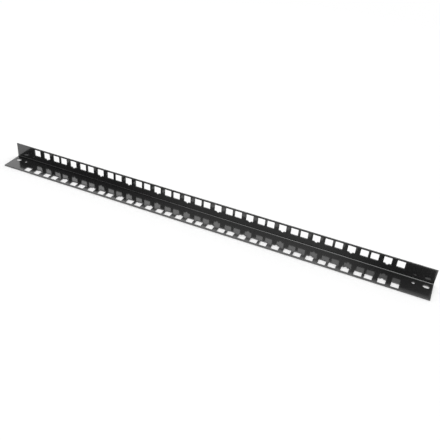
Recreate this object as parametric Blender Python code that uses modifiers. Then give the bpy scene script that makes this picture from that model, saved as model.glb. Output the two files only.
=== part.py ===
"""Rack mounting rail: one strip of sheet steel, folded into an angle and punched for rack hardware.

Units are metres and Z is up. The flat flange lies on the ground, and the upright flange stands along
its back edge. X runs along the rail, -Y points to the free edge of the flat flange, and the origin is
the middle of the rail's footprint. Both flanges carry the same rack pattern: three square holes in
every rack unit, the middle one with a notch that marks the unit.
"""

import math

import bmesh
import bpy

# Rack pattern: holes at one pitch within a unit, and a closer pair across the edge between two units
UNITS = 12
HOLES_PER_UNIT = 3
HOLE_PITCH = 0.015875
UNIT_GAP = 0.0127

# Square holes, which take cage nuts
HOLE_SIDE = 0.0095
HOLE_CORNER_RADIUS = 0.0005
NOTCH_RADIUS = 0.0017

# Folded sheet, measured over its outside faces
SHEET = 0.0015
INNER_BEND_RADIUS = 0.0015
FLAT_DEPTH = 0.0320
UPRIGHT_HEIGHT = 0.0220

# From the centre of a hole row to the free edge of its flange
ROW_TO_EDGE = 0.0070

# Plain sheet beyond the first and the last rack unit
LEFT_MARGIN = 0.0290
RIGHT_MARGIN = 0.0355

# Fixing holes at both ends of the flat flange
SLOT_LENGTH = 0.0080
SLOT_WIDTH = 0.0055
SLOT_TO_END = 0.0076
PILOT_DIAMETER = 0.0040
LEFT_PILOT_TO_END = 0.0202
RIGHT_PILOT_TO_END = 0.0228
END_HOLES_TO_BACK = 0.0101

# How finely the round forms are cut, and how far a punch runs past the sheet
BEND_SEGMENTS = 6
CORNER_SEGMENTS = 2
ROUND_SEGMENTS = 24
PUNCH_OVERRUN = 0.002
SMOOTH_ANGLE = math.radians(30)
WELD_DISTANCE = 0.000001

# Paint
PAINT_COLOUR = (0.012, 0.012, 0.012, 1.0)
PAINT_ROUGHNESS = 0.2

RACK_UNIT = (HOLES_PER_UNIT - 1) * HOLE_PITCH + UNIT_GAP
LENGTH = LEFT_MARGIN + UNITS * RACK_UNIT + RIGHT_MARGIN
LEFT_END = -LENGTH / 2
RIGHT_END = LENGTH / 2
BACK = FLAT_DEPTH / 2
FRONT = -FLAT_DEPTH / 2
FIRST_HOLE = LEFT_END + LEFT_MARGIN + UNIT_GAP / 2
MIDDLE_HOLE = LEFT_END + LEFT_MARGIN + RACK_UNIT / 2
PUNCH_TRAVEL = SHEET + 2 * PUNCH_OVERRUN

# Turns about X that point a punch's own +Y at the fold of the rail
FLAT_TURN = 0.0
UPRIGHT_TURN = -math.pi / 2


def clear_scene():
    """Empty the scene of every object it starts with."""
    for old in list(bpy.data.objects):
        bpy.data.objects.remove(old, do_unlink=True)


def new_collection(name):
    """A collection linked to the scene."""
    collection = bpy.data.collections.new(name)
    bpy.context.scene.collection.children.link(collection)
    return collection


def new_object(name, mesh, collection):
    """An object for a mesh, linked to one collection."""
    made = bpy.data.objects.new(name, mesh)
    collection.objects.link(made)
    return made


def mesh_from(name, bm):
    """A mesh made from a bmesh, which is then freed."""
    mesh = bpy.data.meshes.new(name)
    bm.to_mesh(mesh)
    bm.free()
    return mesh


def black_paint():
    """Glossy black paint over steel."""
    paint = bpy.data.materials.new("black_paint")
    paint.use_nodes = True
    shader = paint.node_tree.nodes["Principled BSDF"]
    shader.inputs["Base Color"].default_value = PAINT_COLOUR
    shader.inputs["Roughness"].default_value = PAINT_ROUGHNESS
    shader.inputs["Metallic"].default_value = 0.0
    return paint


def fold_profile():
    """The outside of the rail's section: free edge, corner of the fold, free edge."""
    bm = bmesh.new()
    outline = [(FRONT, 0.0), (BACK, 0.0), (BACK, UPRIGHT_HEIGHT)]
    corners = [bm.verts.new((0.0, y, z)) for y, z in outline]
    for start, end in zip(corners, corners[1:]):
        bm.edges.new((start, end))
    return mesh_from("fold_profile", bm)


def folded_sheet(collection):
    """The unpunched angle: its section drawn out along X, rounded at the fold and given a thickness."""
    rail = new_object("mounting_rail", fold_profile(), collection)
    rail.location.x = LEFT_END
    draw = rail.modifiers.new("draw_out", "SCREW")
    draw.axis = "X"
    draw.angle = 0.0
    draw.screw_offset = LENGTH
    draw.steps = 1
    draw.render_steps = 1
    fold = rail.modifiers.new("fold", "BEVEL")
    fold.width = INNER_BEND_RADIUS + SHEET
    fold.segments = BEND_SEGMENTS
    gauge = rail.modifiers.new("gauge", "SOLIDIFY")
    gauge.thickness = SHEET
    gauge.offset = -1.0
    gauge.use_even_offset = True
    return rail


def square_punch():
    """A square bar along Z with slightly rounded corners."""
    bm = bmesh.new()
    bmesh.ops.create_cube(bm, size=1.0)
    bmesh.ops.scale(bm, vec=(HOLE_SIDE, HOLE_SIDE, PUNCH_TRAVEL), verts=bm.verts)
    corners = [edge for edge in bm.edges if abs(edge.verts[0].co.z - edge.verts[1].co.z) > PUNCH_TRAVEL / 2]
    bmesh.ops.bevel(
        bm,
        geom=corners,
        offset=HOLE_CORNER_RADIUS,
        segments=CORNER_SEGMENTS,
        profile=0.5,
        affect="EDGES",
    )
    return mesh_from("square_punch", bm)


def round_punch(name, width, length):
    """A round bar along Z, pulled apart along X into a slot where its length is more than its width."""
    step = 2 * math.pi / ROUND_SEGMENTS
    bm = bmesh.new()
    bmesh.ops.create_cone(
        bm,
        cap_ends=True,
        segments=ROUND_SEGMENTS,
        radius1=width / 2 / math.cos(step / 2),
        radius2=width / 2 / math.cos(step / 2),
        depth=PUNCH_TRAVEL,
    )
    for vert in bm.verts:
        angle = math.atan2(vert.co.y, vert.co.x) + step / 2
        reach = math.hypot(vert.co.x, vert.co.y)
        vert.co.x = reach * math.cos(angle) + math.copysign((length - width) / 2, math.cos(angle))
        vert.co.y = reach * math.sin(angle)
    return mesh_from(name, bm)


def place_punch(name, mesh, collection, position, turn=FLAT_TURN):
    """A cutter at a position, turned about X so that it meets its flange square on."""
    punch = new_object(name, mesh, collection)
    punch.location = position
    punch.rotation_euler.x = turn
    punch.hide_render = True
    punch.display_type = "WIRE"
    return punch


def repeat_along(punch, name, count, step):
    """Copies of a cutter at an even step along X."""
    array = punch.modifiers.new(name, "ARRAY")
    array.count = count
    array.use_relative_offset = False
    array.use_constant_offset = True
    array.constant_offset_displace = (step, 0.0, 0.0)


def cut(rail, punch):
    """Take a cutter's shape out of the rail."""
    boolean = rail.modifiers.new(punch.name, "BOOLEAN")
    boolean.operation = "DIFFERENCE"
    boolean.solver = "EXACT"
    boolean.object = punch


def punch_rack_pattern(rail, flange, cutters, row, turn):
    """The rack pattern of one flange; row gives the Y and Z of its holes at mid-thickness."""
    squares = place_punch(f"{flange}_squares", square_punch(), cutters, (FIRST_HOLE, *row), turn)
    repeat_along(squares, "holes_in_unit", HOLES_PER_UNIT, HOLE_PITCH)
    repeat_along(squares, "units", UNITS, RACK_UNIT)
    cut(rail, squares)
    notch = round_punch("notch_punch", 2 * NOTCH_RADIUS, 2 * NOTCH_RADIUS)
    towards_fold = (HOLE_SIDE / 2 * math.cos(turn), HOLE_SIDE / 2 * math.sin(turn))
    edge = (row[0] + towards_fold[0], row[1] + towards_fold[1])
    notches = place_punch(f"{flange}_notches", notch, cutters, (MIDDLE_HOLE, *edge), turn)
    repeat_along(notches, "units", UNITS, RACK_UNIT)
    cut(rail, notches)


def punch_end_holes(rail, cutters):
    """A slot and a round pilot hole near each end of the flat flange."""
    y = BACK - END_HOLES_TO_BACK
    slot = round_punch("slot_punch", SLOT_WIDTH, SLOT_LENGTH)
    pilot = round_punch("pilot_punch", PILOT_DIAMETER, PILOT_DIAMETER)
    for name, punch, x in (
        ("left_slot", slot, LEFT_END + SLOT_TO_END),
        ("left_pilot", pilot, LEFT_END + LEFT_PILOT_TO_END),
        ("right_pilot", pilot, RIGHT_END - RIGHT_PILOT_TO_END),
        ("right_slot", slot, RIGHT_END - SLOT_TO_END),
    ):
        cut(rail, place_punch(name, punch, cutters, (x, y, SHEET / 2)))


def set_shape(rail):
    """Replace the rail's mesh by its evaluated shape, smooth round the fold and sharp at its edges."""
    depsgraph = bpy.context.evaluated_depsgraph_get()
    finished = bpy.data.meshes.new_from_object(rail.evaluated_get(depsgraph))
    rail.modifiers.clear()
    rail.data = finished
    bm = bmesh.new()
    bm.from_mesh(finished)
    bmesh.ops.remove_doubles(bm, verts=bm.verts, dist=WELD_DISTANCE)
    bm.to_mesh(finished)
    bm.free()
    finished.name = "mounting_rail"
    finished.shade_smooth()
    finished.set_sharp_from_angle(angle=SMOOTH_ANGLE)


def build():
    """The whole rail."""
    clear_scene()
    parts = new_collection("rack_mounting_rail")
    cutters = new_collection("punches")
    rail = folded_sheet(parts)
    flat_row = (FRONT + ROW_TO_EDGE, SHEET / 2)
    upright_row = (BACK - SHEET / 2, UPRIGHT_HEIGHT - ROW_TO_EDGE)
    punch_rack_pattern(rail, "flat", cutters, flat_row, FLAT_TURN)
    punch_rack_pattern(rail, "upright", cutters, upright_row, UPRIGHT_TURN)
    punch_end_holes(rail, cutters)
    set_shape(rail)
    rail.data.materials.append(black_paint())


build()
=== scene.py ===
"""A rack mounting rail: a punched and folded steel angle in glossy black paint, on a white studio floor.

Everything is in metres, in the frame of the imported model: X runs along the rail, -Y points to the free edge
of the flat flange, and Z is up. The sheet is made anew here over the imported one, with the rounded edges that
a punch and a shear leave in real sheet, and is then dressed in paint and set in the studio that it mirrors.
"""

import logging
import math
from dataclasses import dataclass
from enum import Enum
from typing import Sequence, Union

import bmesh
import bpy
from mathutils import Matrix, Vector


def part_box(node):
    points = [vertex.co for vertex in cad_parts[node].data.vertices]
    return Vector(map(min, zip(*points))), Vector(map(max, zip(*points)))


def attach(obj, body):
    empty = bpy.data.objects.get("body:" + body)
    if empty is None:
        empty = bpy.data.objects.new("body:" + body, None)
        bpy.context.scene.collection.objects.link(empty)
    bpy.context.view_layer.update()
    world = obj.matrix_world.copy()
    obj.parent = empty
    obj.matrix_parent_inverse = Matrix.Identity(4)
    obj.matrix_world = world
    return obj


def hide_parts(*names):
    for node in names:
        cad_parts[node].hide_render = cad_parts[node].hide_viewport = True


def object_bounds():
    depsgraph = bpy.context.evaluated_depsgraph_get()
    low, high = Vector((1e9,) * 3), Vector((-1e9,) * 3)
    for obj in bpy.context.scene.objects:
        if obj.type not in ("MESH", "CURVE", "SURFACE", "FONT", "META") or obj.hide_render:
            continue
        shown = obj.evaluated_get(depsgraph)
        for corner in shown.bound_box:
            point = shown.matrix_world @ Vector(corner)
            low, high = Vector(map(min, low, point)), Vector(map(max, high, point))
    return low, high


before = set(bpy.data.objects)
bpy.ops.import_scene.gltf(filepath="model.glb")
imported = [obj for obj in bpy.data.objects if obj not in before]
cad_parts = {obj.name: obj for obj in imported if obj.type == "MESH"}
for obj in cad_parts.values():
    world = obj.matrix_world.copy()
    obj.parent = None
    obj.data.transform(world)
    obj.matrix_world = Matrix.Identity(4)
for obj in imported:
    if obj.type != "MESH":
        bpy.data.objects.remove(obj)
CAD_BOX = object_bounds()

LOG = logging.getLogger("rack_rail")
RAIL_NODE = "mounting_rail"
RIM = "rim"
BEVEL_WEIGHT = "bevel_weight_edge"
WELD_DIGITS = 7
WHITE = (1.0, 1.0, 1.0, 1.0)
BLACK = (0.0, 0.0, 0.0, 1.0)

Number = Union[float, "Signal"]
Point = tuple[float, float]


class Signal:
    """A number that varies over a surface: a node's socket that adds a Math node for each operator."""

    def __init__(self, graph: "Graph", socket: bpy.types.NodeSocket) -> None:
        """Wrap a socket.

        Args:
            graph: the graph that the socket's node belongs to.
            socket: the output to read.
        """
        self.graph = graph
        self.socket = socket

    def _math(self, operation: str, first: Number, second: Number) -> "Signal":
        """The result of a Math node.

        Args:
            operation: the node's operation.
            first: the left operand.
            second: the right operand.

        Returns:
            The node's value.
        """
        node = self.graph.node("ShaderNodeMath", {"operation": operation}, {0: first, 1: second})
        return Signal(self.graph, node.outputs[0])

    def __add__(self, other: Number) -> "Signal":
        """This and another, added."""
        return self._math("ADD", self, other)

    def __radd__(self, other: Number) -> "Signal":
        """A number and this, added."""
        return self._math("ADD", other, self)

    def __sub__(self, other: Number) -> "Signal":
        """Another taken from this."""
        return self._math("SUBTRACT", self, other)

    def __rsub__(self, other: Number) -> "Signal":
        """This taken from a number."""
        return self._math("SUBTRACT", other, self)

    def __mul__(self, other: Number) -> "Signal":
        """This and another, multiplied."""
        return self._math("MULTIPLY", self, other)

    def __rmul__(self, other: Number) -> "Signal":
        """A number and this, multiplied."""
        return self._math("MULTIPLY", other, self)

    def at_most(self, other: Number) -> "Signal":
        """The lesser of this and another."""
        return self._math("MINIMUM", self, other)

    def at_least(self, other: Number) -> "Signal":
        """The greater of this and another."""
        return self._math("MAXIMUM", self, other)

    def clamped(self) -> "Signal":
        """This, kept from 0 to 1."""
        return self.at_least(0.0).at_most(1.0)


class Graph:
    """The nodes of one material or of the world."""

    def __init__(self, owner: Union[bpy.types.Material, bpy.types.World]) -> None:
        """Start an empty graph.

        Args:
            owner: the material or world whose nodes are made.
        """
        owner.use_nodes = True
        self.tree = owner.node_tree
        self.tree.nodes.clear()

    def node(self, kind: str, settings: dict, sockets: dict) -> bpy.types.Node:
        """Add a node.

        Args:
            kind: the node's type.
            settings: its properties; a list under color_ramp holds the ramp's stops as (place, grey).
            sockets: a value, a socket or a Signal for each input, by name or number.

        Returns:
            The new node.
        """
        made = self.tree.nodes.new(kind)
        for name, value in settings.items():
            if name == "color_ramp":
                self._set_stops(made.color_ramp, value)
            else:
                setattr(made, name, value)
        for key, value in sockets.items():
            socket = value.socket if isinstance(value, Signal) else value
            if isinstance(socket, bpy.types.NodeSocket):
                self.tree.links.new(socket, made.inputs[key])
            else:
                made.inputs[key].default_value = socket
        return made

    def signal(self, kind: str, settings: dict, sockets: dict, output: Union[int, str] = 0) -> Signal:
        """Add a node and read one of its outputs as a number.

        Args:
            kind: the node's type.
            settings: its properties.
            sockets: its inputs.
            output: the output's name or number.

        Returns:
            The output's value.
        """
        return Signal(self, self.node(kind, settings, sockets).outputs[output])

    def rays(self) -> tuple[Signal, Signal]:
        """Tell the rays apart that reach this material or world.

        Returns:
            1 for rays that see the room from the camera, also through glass, and 1 for mirrored rays.
        """
        ray = self.node("ShaderNodeLightPath", {}, {})
        camera, mirrored, through = (
            Signal(self, ray.outputs[f"Is {kind} Ray"]) for kind in ("Camera", "Glossy", "Transmission")
        )
        return camera.at_least(through), mirrored

    @staticmethod
    def _set_stops(ramp: bpy.types.ColorRamp, stops: Sequence[Point]) -> None:
        """Give a ramp its stops.

        Args:
            ramp: the ramp to set.
            stops: the place and grey of each stop.
        """
        while len(ramp.elements) < len(stops):
            ramp.elements.new(1.0)
        for element, (place, grey) in zip(ramp.elements, stops):
            element.position = place
            element.color = (grey, grey, grey, 1.0)


@dataclass(frozen=True)
class GlossyPaint:
    """Black stoved paint: a mirror blurred by orange peel, thinner, duller and lighter where it runs over an
    edge, the lighter tone partly thin paint and partly a painted highlight.

    Sizes and heights are metres on the rail. The noise's detail is how many finer waves it adds.
    """

    colour: tuple[float, float, float] = (0.0062, 0.0062, 0.0063)
    # Lighter paint on roundings and cut faces: partly thinner paint, partly a painted highlight where the
    # edges catch light
    thin_paint_and_highlight_colour: tuple[float, float, float] = (0.090, 0.090, 0.091)
    dust_colour: tuple[float, float, float] = (0.055, 0.054, 0.052)
    gloss_roughness: float = 0.11
    haze_roughness: float = 0.04
    edge_roughness: float = 0.16
    thin_paint_and_highlight_share: float = 0.35
    ior: float = 1.8
    haze_size: float = 0.018
    haze_detail: float = 3.0
    streak_length: float = 0.12
    peel_size: float = 0.0012
    peel_height: float = 0.000004
    peel_detail: float = 1.0
    dust_size: float = 0.0009
    dust_detail: float = 1.0
    dust_stops: tuple[Point, Point] = ((0.74, 0.0), (0.80, 0.5))

    def build(self, name: str) -> bpy.types.Material:
        """Make the paint.

        Args:
            name: the material's name.

        Returns:
            The material.
        """
        material = bpy.data.materials.new(name)
        graph = Graph(material)
        place = graph.node("ShaderNodeTexCoord", {}, {}).outputs["Object"]
        haze = self._haze(graph, place)
        dust = self._dust(graph, place)
        rim = graph.signal("ShaderNodeAttribute", {"attribute_name": RIM}, {}, "Fac")
        # Roundings and cut faces turn lighter: partly thin paint, partly a painted highlight on the edges
        edge = (rim * (self.thin_paint_and_highlight_share + haze)).at_most(1.0)
        colour = self._mixed(graph, edge, (*self.colour, 1.0), (*self.thin_paint_and_highlight_colour, 1.0))
        colour = self._mixed(graph, dust, colour, (*self.dust_colour, 1.0))
        roughness = self.gloss_roughness + haze * self.haze_roughness + rim * self.edge_roughness
        shader = graph.node(
            "ShaderNodeBsdfPrincipled",
            {},
            {
                "Base Color": colour,
                "Roughness": roughness + dust * self.edge_roughness,
                "Metallic": 0.0,
                "IOR": self.ior,
                "Normal": self._orange_peel(graph, place),
            },
        )
        graph.node("ShaderNodeOutputMaterial", {}, {"Surface": shader.outputs["BSDF"]})
        return material

    @staticmethod
    def _mixed(graph: Graph, factor: Signal, first: object, second: object) -> bpy.types.NodeSocket:
        """One colour changing into another.

        Args:
            graph: the material's graph.
            factor: 0 for the first colour, 1 for the second.
            first: a colour or a colour socket.
            second: a colour or a colour socket.

        Returns:
            The mixed colour's socket.
        """
        mix = graph.node("ShaderNodeMix", {"data_type": "RGBA"}, {"Factor": factor, "A": first, "B": second})
        return mix.outputs["Result"]

    def _haze(self, graph: Graph, place: bpy.types.NodeSocket) -> Signal:
        """Cloudy patches drawn out along the rail, where the paint is a little less glossy.

        Args:
            graph: the material's graph.
            place: where on the rail the surface is.

        Returns:
            The haze, from 0 to about 1.
        """
        drawn_out = (self.haze_size / self.streak_length, 1.0, 1.0)
        stretched = graph.node(
            "ShaderNodeVectorMath", {"operation": "MULTIPLY"}, {0: place, 1: drawn_out}
        ).outputs[0]
        return self._noise(graph, stretched, self.haze_size, self.haze_detail)

    def _dust(self, graph: Graph, place: bpy.types.NodeSocket) -> Signal:
        """Sparse specks that settled in the paint.

        Args:
            graph: the material's graph.
            place: where on the rail the surface is.

        Returns:
            How much speck there is, from 0 to 1.
        """
        cloud = self._noise(graph, place, self.dust_size, self.dust_detail)
        return graph.signal("ShaderNodeValToRGB", {"color_ramp": self.dust_stops}, {"Fac": cloud})

    def _orange_peel(self, graph: Graph, place: bpy.types.NodeSocket) -> bpy.types.NodeSocket:
        """The shallow waves that wet paint sets in.

        Args:
            graph: the material's graph.
            place: where on the rail the surface is.

        Returns:
            The normal's socket.
        """
        waves = self._noise(graph, place, self.peel_size, self.peel_detail)
        relief = {"Strength": 1.0, "Distance": self.peel_height, "Height": waves}
        return graph.node("ShaderNodeBump", {}, relief).outputs["Normal"]

    @staticmethod
    def _noise(graph: Graph, place: bpy.types.NodeSocket, size: float, detail: float) -> Signal:
        """A cloudy pattern.

        Args:
            graph: the material's graph.
            place: where on the rail the surface is.
            size: how large its patches are.
            detail: how many finer waves it adds.

        Returns:
            The pattern, from 0 to about 1.
        """
        return graph.signal("ShaderNodeTexNoise", {}, {"Vector": place, "Scale": 1 / size, "Detail": detail})


@dataclass(frozen=True)
class Hole:
    """A hole in a flange: its centre, and the right half of its outline.

    The half runs from the fold's side to the free edge's side.
    """

    along: float
    across: float
    right_half: tuple[Point, ...]

    def half(self, side: int) -> list[Point]:
        """Half of the outline.

        Args:
            side: 1 for the half towards +X, -1 for the other.

        Returns:
            The outline's points, from the fold's side to the free edge's.
        """
        return [(self.along + side * x, self.across + v) for x, v in self.right_half]

    def outline(self) -> list[Point]:
        """The closed outline, each point once."""
        return self.half(1) + self.half(-1)[-2:0:-1]


def arc(centre: Point, radius: float, start: float, end: float, steps: int) -> list[Point]:
    """Points along an arc, both ends among them.

    Args:
        centre: the arc's centre.
        radius: its radius.
        start: its first angle in degrees, 0 along +X.
        end: its last angle.
        steps: how many straight steps it takes.

    Returns:
        The points in order.
    """
    angles = [math.radians(start + (end - start) * step / steps) for step in range(steps + 1)]
    return [(centre[0] + radius * math.cos(angle), centre[1] + radius * math.sin(angle)) for angle in angles]


@dataclass(frozen=True)
class RackPattern:
    """The square holes of one flange: threes at one pitch, with the middle one of each unit notched."""

    units: int = 12
    pitch: float = 0.015875
    unit_gap: float = 0.0127
    side: float = 0.0095
    corner_radius: float = 0.0005
    notch_radius: float = 0.0017
    corner_steps: int = 4
    notch_steps: int = 10

    @property
    def unit(self) -> float:
        """The length of one rack unit."""
        return 2 * self.pitch + self.unit_gap

    def _square(self) -> list[Point]:
        """The right half of a plain square hole."""
        half, corner = self.side / 2, self.corner_radius
        reach = half - corner
        near = arc((reach, -reach), corner, -90, 0, self.corner_steps)
        far = arc((reach, reach), corner, 0, 90, self.corner_steps)
        return [(0.0, -half), *near, *far, (0.0, half)]

    def _notched(self) -> list[Point]:
        """The right half of a square hole with a half round notch in its side towards the fold."""
        notch = arc((0.0, -self.side / 2), self.notch_radius, -90, 0, self.notch_steps)
        return notch + self._square()[1:]

    def holes(self, start: float, across: float) -> list[Hole]:
        """The row of holes.

        Args:
            start: where the first unit begins along the rail.
            across: the row's distance from the fold.

        Returns:
            The holes in order along the rail.
        """
        row = []
        for unit in range(self.units):
            middle = start + (unit + 0.5) * self.unit
            for step in (-1, 0, 1):
                shape = self._square() if step else self._notched()
                row.append(Hole(middle + step * self.pitch, across, tuple(shape)))
        return row


@dataclass(frozen=True)
class EndHoles:
    """The slot and the round pilot hole near an end of the flat flange."""

    slot_length: float = 0.0080
    slot_width: float = 0.0055
    slot_to_end: float = 0.0076
    pilot_diameter: float = 0.0040
    left_pilot_to_end: float = 0.0202
    right_pilot_to_end: float = 0.0228
    to_back: float = 0.0101
    round_steps: int = 16

    def left(self, end: float, back_to_fold: float) -> list[Hole]:
        """The two holes at the left end, in order along the rail.

        Args:
            end: where the rail begins.
            back_to_fold: how far the fold's line on the flange stands from the rail's back.

        Returns:
            The slot and the pilot hole.
        """
        across = self.to_back - back_to_fold
        return [
            Hole(end + self.slot_to_end, across, self._slot()),
            Hole(end + self.left_pilot_to_end, across, self._pilot()),
        ]

    def right(self, end: float, back_to_fold: float) -> list[Hole]:
        """The two holes at the right end, in order along the rail.

        Args:
            end: where the rail ends.
            back_to_fold: how far the fold's line on the flange stands from the rail's back.

        Returns:
            The pilot hole and the slot.
        """
        across = self.to_back - back_to_fold
        return [
            Hole(end - self.right_pilot_to_end, across, self._pilot()),
            Hole(end - self.slot_to_end, across, self._slot()),
        ]

    def _slot(self) -> tuple[Point, ...]:
        """The right half of the slot."""
        return self._oblong(self.slot_width, self.slot_length)

    def _pilot(self) -> tuple[Point, ...]:
        """The right half of the pilot hole."""
        return self._oblong(self.pilot_diameter, self.pilot_diameter)

    def _oblong(self, width: float, length: float) -> tuple[Point, ...]:
        """The right half of a round-ended hole.

        Args:
            width: its width across the rail.
            length: its length along it, the width's own for a round hole.

        Returns:
            The points, from the fold's side to the free edge's.
        """
        radius = width / 2
        straight = (length - width) / 2
        cap = arc((straight, 0.0), radius, -90, 90, self.round_steps)
        return tuple([(0.0, -radius), *cap, (0.0, radius)] if straight > 0 else cap)


@dataclass(frozen=True)
class Flange:
    """A flat side of the angle, from the fold's edge to its free edge.

    Outward points along the flange away from the fold, and through goes in from its outer face.
    """

    fold_edge: Vector
    outward: Vector
    through: Vector
    width: float
    holes: tuple[Hole, ...]

    def point(self, along: float, across: float, depth: float) -> Vector:
        """A place on the flange.

        Args:
            along: X along the rail.
            across: the distance from the fold's edge.
            depth: the distance in from the outer face.

        Returns:
            The point.
        """
        return Vector((along, 0.0, 0.0)) + self.fold_edge + across * self.outward + depth * self.through


class SheetSide(Enum):
    """The two faces of the sheet, by how round the tools leave their edges."""

    PUNCHED = 1.0
    BROKEN_OUT = 0.45


class Surface(Enum):
    """The kinds of surface on the sheet: a face's mark, and from 0 to 1 how much its paint turns lighter and
    rougher, the lighter tone partly thin paint and partly a painted highlight.
    """

    FACE = (0, 0.0)
    ROUNDING = (1, 1.0)
    CUT = (2, 0.8)


@dataclass(frozen=True)
class MountingRail:
    """The folded and punched sheet. Its length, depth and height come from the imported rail's box."""

    pattern: RackPattern = RackPattern()
    ends: EndHoles = EndHoles()
    sheet: float = 0.0015
    inner_bend_radius: float = 0.0015
    row_to_edge: float = 0.0070
    left_margin: float = 0.0290
    edge_rounding: float = 0.00028
    rounding_steps: int = 3
    bend_steps: int = 10
    sharp_angle: float = math.radians(35)

    def build(self, paint: bpy.types.Material) -> bpy.types.Object:
        """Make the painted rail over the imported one.

        Args:
            paint: its finish.

        Returns:
            The rail's object.
        """
        low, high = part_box(RAIL_NODE)
        mesh = self._sheet_mesh(low, high)
        mesh.materials.append(paint)
        rail = bpy.data.objects.new("painted_rail", mesh)
        bpy.context.scene.collection.objects.link(rail)
        self._round_edges(rail)
        self._mark_rims(rail.data)
        return rail

    def _flanges(self, low: Vector, high: Vector) -> tuple[Flange, Flange]:
        """The flat and the upright flange.

        Args:
            low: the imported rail's lowest corner.
            high: its highest corner.

        Returns:
            The two flanges.
        """
        bend = self.inner_bend_radius + self.sheet
        flat_width = high.y - low.y - bend
        upright_width = high.z - low.z - bend
        start = low.x + self.left_margin
        flat_row = self.pattern.holes(start, flat_width - self.row_to_edge)
        upright_row = self.pattern.holes(start, upright_width - self.row_to_edge)
        left = self.ends.left(low.x, bend)
        right = self.ends.right(high.x, bend)
        flat = Flange(
            fold_edge=Vector((0.0, high.y - bend, low.z)),
            outward=Vector((0.0, -1.0, 0.0)),
            through=Vector((0.0, 0.0, 1.0)),
            width=flat_width,
            holes=tuple(left + flat_row + right),
        )
        upright = Flange(
            fold_edge=Vector((0.0, high.y, low.z + bend)),
            outward=Vector((0.0, 0.0, 1.0)),
            through=Vector((0.0, -1.0, 0.0)),
            width=upright_width,
            holes=tuple(upright_row),
        )
        return flat, upright

    def _sheet_mesh(self, low: Vector, high: Vector) -> bpy.types.Mesh:
        """The closed sheet with sharp edges, which are weighted for rounding.

        Args:
            low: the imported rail's lowest corner.
            high: its highest corner.

        Returns:
            The mesh.
        """
        flanges = self._flanges(low, high)
        cuts = sorted({hole.along for flange in flanges for hole in flange.holes} | {low.x, high.x})
        weaver = SheetWeaver(self.sheet, cuts)
        for flange in flanges:
            weaver.add_flange(flange)
        weaver.add_bend(flanges[0], flanges[1], self.inner_bend_radius, self.bend_steps)
        return weaver.finish(self.sharp_angle)

    def _round_edges(self, rail: bpy.types.Object) -> None:
        """Round the weighted edges, and keep the flat faces flat to the eye.

        Args:
            rail: the rail's object, whose mesh is replaced.
        """
        rounding = rail.modifiers.new("edge_rounding", "BEVEL")
        rounding.limit_method = "WEIGHT"
        rounding.width = self.edge_rounding
        rounding.segments = self.rounding_steps
        rounding.material = Surface.ROUNDING.value[0]
        normals = rail.modifiers.new("flat_faces", "WEIGHTED_NORMAL")
        normals.keep_sharp = True
        rail.data.shade_smooth()
        evaluated = rail.evaluated_get(bpy.context.evaluated_depsgraph_get())
        finished = bpy.data.meshes.new_from_object(evaluated)
        finished.name = "painted_rail"
        rail.modifiers.clear()
        rail.data = finished

    @staticmethod
    def _mark_rims(mesh: bpy.types.Mesh) -> None:
        """Turn the marks on the faces into an attribute that the paint reads.

        Args:
            mesh: the rail's mesh.
        """
        # Roundings and cut faces get the rim that makes the paint rougher and lighter, partly thin paint and
        # partly a painted highlight
        rim_by_mark = dict(surface.value for surface in Surface)
        rim = mesh.attributes.new(RIM, "FLOAT", "FACE")
        rim.data.foreach_set("value", [rim_by_mark[face.material_index] for face in mesh.polygons])
        for face in mesh.polygons:
            face.material_index = Surface.FACE.value[0]


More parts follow.
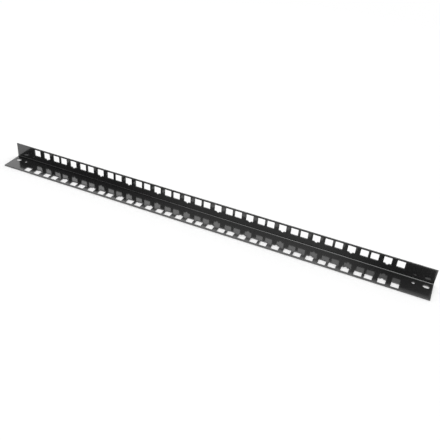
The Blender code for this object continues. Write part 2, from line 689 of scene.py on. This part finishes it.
class SheetWeaver:
    """Builds the two faces of the sheet, the walls of its holes and its edges as one closed mesh."""

    def __init__(self, sheet: float, cuts: Sequence[float]) -> None:
        """Start an empty mesh.

        Args:
            sheet: the sheet's thickness.
            cuts: every X where a panel ends, in order, the rail's two ends among them.
        """
        self.sheet = sheet
        self.cuts = list(cuts)
        self.bm = bmesh.new()
        self.corners: dict[tuple[float, ...], bmesh.types.BMVert] = {}
        self.punched: set[bmesh.types.BMVert] = set()

    def _corner(self, point: Vector, side: SheetSide) -> bmesh.types.BMVert:
        """The vertex at a point, made at its first use.

        Args:
            point: where it is.
            side: the face of the sheet that it lies on.

        Returns:
            The vertex.
        """
        key = tuple(round(value, WELD_DIGITS) for value in point)
        if key not in self.corners:
            self.corners[key] = self.bm.verts.new(point)
        if side is SheetSide.PUNCHED:
            self.punched.add(self.corners[key])
        return self.corners[key]

    def _on(self, flange: Flange, points: Sequence[Point], side: SheetSide) -> list[bmesh.types.BMVert]:
        """Vertices on one face of a flange.

        Args:
            flange: the flange.
            points: places along and across it.
            side: the face of the sheet.

        Returns:
            The vertices in order.
        """
        depth = self.sheet if side is SheetSide.PUNCHED else 0.0
        return [self._corner(flange.point(along, across, depth), side) for along, across in points]

    def _wall(self, flange: Flange, points: Sequence[Point], closed: bool) -> None:
        """The wall through the sheet along a line on a flange.

        Args:
            flange: the flange.
            points: the line's points.
            closed: whether the last point joins the first.
        """
        line = [*points, points[0]] if closed else list(points)
        inner = self._on(flange, line, SheetSide.PUNCHED)
        outer = self._on(flange, line, SheetSide.BROKEN_OUT)
        for step in range(len(line) - 1):
            self._cut_face((inner[step], inner[step + 1], outer[step + 1], outer[step]))

    def _cut_face(self, corners: Sequence[bmesh.types.BMVert]) -> None:
        """A face across the sheet's thickness, marked as cut."""
        self.bm.faces.new(corners).material_index = Surface.CUT.value[0]

    def add_flange(self, flange: Flange) -> None:
        """A flange's panels, hole walls, free edge and ends.

        Args:
            flange: the flange to add.
        """
        left, right = self.cuts[0], self.cuts[-1]
        stops = [None, *flange.holes, None]
        for before, after in zip(stops, stops[1:]):
            start = before.along if before else left
            end = after.along if after else right
            fold_line = [(x, 0.0) for x in self.cuts if start <= x <= end]
            free_line = [(end, flange.width), (start, flange.width)]
            into = after.half(-1) if after else []
            out_of = before.half(1)[::-1] if before else []
            loop = [*fold_line, *into, *free_line, *out_of]
            for side in SheetSide:
                self.bm.faces.new(self._on(flange, loop, side))
            self._wall(flange, free_line, closed=False)
        for hole in flange.holes:
            self._wall(flange, hole.outline(), closed=True)
        for end in (left, right):
            self._wall(flange, [(end, 0.0), (end, flange.width)], closed=False)

    def add_bend(self, flat: Flange, upright: Flange, inner_radius: float, steps: int) -> None:
        """The quarter round between the flanges.

        Args:
            flat: the flange that the bend starts from.
            upright: the flange that it ends at.
            inner_radius: the radius inside the angle.
            steps: how many strips it is made of.
        """
        axis = flat.point(0.0, 0.0, inner_radius + self.sheet)
        rings = {SheetSide.PUNCHED: inner_radius, SheetSide.BROKEN_OUT: inner_radius + self.sheet}
        angles = [math.pi / 2 * step / steps for step in range(steps + 1)]
        strips: dict[SheetSide, list[list[bmesh.types.BMVert]]] = {}
        for side, radius in rings.items():
            section = [
                axis - radius * (math.sin(angle) * upright.through + math.cos(angle) * flat.through)
                for angle in angles
            ]
            strips[side] = [
                [self._corner(place + Vector((x, 0.0, 0.0)), side) for x in self.cuts] for place in section
            ]
        inner, outer = strips[SheetSide.PUNCHED], strips[SheetSide.BROKEN_OUT]
        for step in range(steps):
            for near, far in ((inner[step], inner[step + 1]), (outer[step], outer[step + 1])):
                for column in range(len(self.cuts) - 1):
                    self.bm.faces.new((near[column], near[column + 1], far[column + 1], far[column]))
            for end in (0, -1):
                corners = (inner[step][end], inner[step + 1][end], outer[step + 1][end], outer[step][end])
                self._cut_face(corners)

    def finish(self, sharp_angle: float) -> bpy.types.Mesh:
        """Close the mesh, and weight its sharp edges by the side of the sheet that they are on.

        Args:
            sharp_angle: the angle from which an edge is sharp.

        Returns:
            The mesh.
        """
        bmesh.ops.recalc_face_normals(self.bm, faces=self.bm.faces)
        weight = self.bm.edges.layers.float.new(BEVEL_WEIGHT)
        for edge in self.bm.edges:
            if edge.calc_face_angle() > sharp_angle:
                punched = all(vert in self.punched for vert in edge.verts)
                edge[weight] = SheetSide.PUNCHED.value if punched else SheetSide.BROKEN_OUT.value
        mesh = bpy.data.meshes.new("sheet")
        self.bm.to_mesh(mesh)
        self.bm.free()
        return mesh


@dataclass(frozen=True)
class WhiteFloor:
    """A matt white floor with the rail's shadow on it, which turns into the room's plain white far out.

    The lifts are light of its own: for what the camera sees, and for what the rail's gloss mirrors.
    """

    colour: float = 0.92
    lift: float = 0.04
    mirrored_lift: float = 0.22
    half_size: float = 3.0
    fade_from: float = 0.5
    fade_to: float = 1.1
    drop: float = 0.0001

    def build(self) -> bpy.types.Object:
        """Lay the floor just under the rail.

        Returns:
            The floor's object.
        """
        mesh = bpy.data.meshes.new("floor")
        bm = bmesh.new()
        bmesh.ops.create_grid(bm, x_segments=1, y_segments=1, size=self.half_size)
        bm.to_mesh(mesh)
        bm.free()
        mesh.materials.append(self._finish())
        floor = bpy.data.objects.new("floor", mesh)
        floor.location.z = CAD_BOX[0][2] - self.drop
        bpy.context.scene.collection.objects.link(floor)
        return floor

    def _finish(self) -> bpy.types.Material:
        """Matt white, with a little light of its own for the camera and for mirrored rays.

        Returns:
            The material.
        """
        material = bpy.data.materials.new("studio_white")
        graph = Graph(material)
        place = graph.node("ShaderNodeTexCoord", {}, {}).outputs["Object"]
        reach = graph.signal("ShaderNodeVectorMath", {"operation": "LENGTH"}, {0: place}, "Value")
        far = ((reach - self.fade_from) * (1 / (self.fade_to - self.fade_from))).clamped()
        seen, mirrored = graph.rays()
        rise = far * (1 - self.lift)
        strength = seen * (rise + self.lift) + mirrored * (rise + self.mirrored_lift)
        glow = graph.node("ShaderNodeEmission", {}, {"Color": WHITE, "Strength": strength})
        grey = (self.colour, self.colour, self.colour, 1.0)
        near = graph.node("ShaderNodeMix", {"data_type": "RGBA"}, {"Factor": far, "A": grey, "B": BLACK})
        matt = graph.node("ShaderNodeBsdfDiffuse", {}, {"Color": near.outputs["Result"]})
        both = graph.node("ShaderNodeAddShader", {}, {0: matt.outputs[0], 1: glow.outputs[0]})
        graph.node("ShaderNodeOutputMaterial", {}, {"Surface": both.outputs[0]})
        return material


@dataclass(frozen=True)
class TentSide:
    """A side of the tent: its brightness from left to right, and how far it reaches in depth.

    Places are parts of a direction's length: along X for the brightness, and along Y for the reach, where 1
    is straight behind the rail and -1 straight in front of it.
    """

    brightness: tuple[Point, ...]
    start: float
    end: float
    softness: float = 0.10

    def glow(self, graph: Graph, across: Signal, depth: Signal, brightest: float) -> Signal:
        """How bright the side is in a direction.

        Args:
            graph: the world's graph.
            across: the direction's part along X.
            depth: its part along Y.
            brightest: the brightness that the ramp's white stands for.

        Returns:
            The brightness, 0 beyond the side's reach.
        """
        # Straight ahead is the middle of the ramp, and a soft edge is half bright at its own place
        half = 0.5
        stops = [(place * half + half, bright / brightest) for place, bright in self.brightness]
        ramp = graph.signal("ShaderNodeValToRGB", {"color_ramp": stops}, {"Fac": across * half + half})
        rise = ((depth - self.start) * (1 / self.softness) + half).clamped()
        fall = ((self.end - depth) * (1 / self.softness) + half).clamped()
        return ramp * rise * fall * brightest


@dataclass(frozen=True)
class StudioTent:
    """The white tent round the rail, as its gloss mirrors it: lit from behind on the left, and from in front.

    Only mirrored rays see its sides. The camera sees plain white, and matt surfaces get the even fill, which
    leans to the rear.
    """

    behind: TentSide = TentSide(
        brightness=(
            (-0.90, 1.42), (-0.60, 1.36), (-0.44, 1.42), (-0.16, 1.25), (-0.10, 1.11),
            (-0.045, 0.88), (0.012, 0.58), (0.06, 0.54), (0.30, 0.50), (0.60, 0.80),
        ),
        start=0.40,
        end=2.0,
    )
    overhead: TentSide = TentSide(
        brightness=((-0.40, 0.04), (-0.28, 0.60), (0.80, 0.60)),
        start=-0.05,
        end=0.40,
    )
    above_front: TentSide = TentSide(
        brightness=(
            (-0.40, 0.04), (-0.30, 1.60), (-0.10, 2.40), (-0.01, 3.52), (0.04, 4.64), (0.12, 4.64),
            (0.30, 0.60), (0.80, 0.40),
        ),
        start=-0.45,
        end=-0.05,
    )
    in_front: TentSide = TentSide(
        brightness=(
            (-0.46, 0.70), (-0.40, 1.30), (-0.34, 2.90), (-0.22, 3.40), (-0.16, 5.00), (-0.09, 5.00),
            (-0.01, 1.00), (0.02, 1.20), (0.05, 2.60), (0.12, 2.60), (0.30, 0.70), (0.80, 0.50),
        ),
        start=-0.82,
        end=-0.58,
    )
    brightest: float = 5.0
    fill: float = 0.81
    rear_bias: float = 1.0

    def build(self) -> bpy.types.World:
        """Make the world.

        Returns:
            The world.
        """
        world = bpy.data.worlds.new("studio_tent")
        graph = Graph(world)
        direction = graph.node("ShaderNodeTexCoord", {}, {}).outputs["Generated"]
        parts = graph.node("ShaderNodeSeparateXYZ", {}, {0: direction})
        across, depth = Signal(graph, parts.outputs["X"]), Signal(graph, parts.outputs["Y"])
        glow = self.behind.glow(graph, across, depth, self.brightest)
        for side in (self.above_front, self.overhead, self.in_front):
            glow = glow + side.glow(graph, across, depth, self.brightest)
        seen, mirrored = graph.rays()
        plain = (1 - seen) * (1 - mirrored) * (depth * self.rear_bias + 1) * self.fill
        strength = seen + (1 - seen) * mirrored * glow + plain
        tent = graph.node("ShaderNodeBackground", {}, {"Color": WHITE, "Strength": strength})
        graph.node("ShaderNodeOutputWorld", {}, {"Surface": tent.outputs[0]})
        bpy.context.scene.world = world
        return world


@dataclass(frozen=True)
class KeyLight:
    """A large soft light high over the rail, which lights the floor through the rail's holes.

    Height, bearing and softness are angles in degrees, the softness that of the light's whole disc.
    """

    name: str = "key_light"
    height: float = 85.0
    bearing: float = 0.0
    softness: float = 40.0
    strength: float = 0.86

    def build(self) -> bpy.types.Object:
        """Hang the light.

        Returns:
            The light's object.
        """
        light = bpy.data.lights.new(self.name, "SUN")
        light.angle = math.radians(self.softness)
        light.energy = self.strength
        hung = bpy.data.objects.new(self.name, light)
        hung.rotation_euler = (math.radians(self.height - 90), 0.0, math.radians(self.bearing))
        hung.visible_glossy = False
        bpy.context.scene.collection.objects.link(hung)
        return hung


@dataclass(frozen=True)
class Photographer:
    """The camera, at the photograph's place and angle: metres, degrees, and millimetres for lens and film."""

    place: tuple[float, float, float] = (0.25173, -0.59848, 0.45848)
    turn: tuple[float, float, float] = (54.779, -4.228, 23.424)
    lens: float = 49.81
    film: float = 36.0
    nearest: float = 0.01

    def build(self) -> bpy.types.Object:
        """Set up the camera.

        Returns:
            The camera's object.
        """
        camera = bpy.data.cameras.new("camera")
        camera.sensor_width = self.film
        camera.lens = self.lens
        camera.clip_start = self.nearest
        stand = bpy.data.objects.new("camera", camera)
        stand.location = self.place
        stand.rotation_euler = [math.radians(angle) for angle in self.turn]
        bpy.context.scene.collection.objects.link(stand)
        bpy.context.scene.camera = stand
        return stand


def main() -> None:
    """Build the camera, the rail and its studio, and report each piece."""
    logging.basicConfig(level=logging.INFO, format="%(message)s")
    bpy.context.scene.view_settings.view_transform = "Standard"
    stand = Photographer().build()
    LOG.info("%s: %.2f mm lens", stand.name, stand.data.lens)
    paint = GlossyPaint().build("black_paint_on_steel")
    rail = MountingRail().build(paint)
    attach(rail, "root")
    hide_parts(RAIL_NODE)
    LOG.info("%s: %d faces in %s", rail.name, len(rail.data.polygons), paint.name)
    floor = WhiteFloor().build()
    LOG.info("%s: %s", floor.name, floor.data.materials[0].name)
    tent = StudioTent().build()
    LOG.info("%s: %d nodes", tent.name, len(tent.node_tree.nodes))
    hung = KeyLight().build()
    LOG.info("%s: strength %.2f", hung.name, hung.data.energy)


if __name__ == "__main__":
    main()
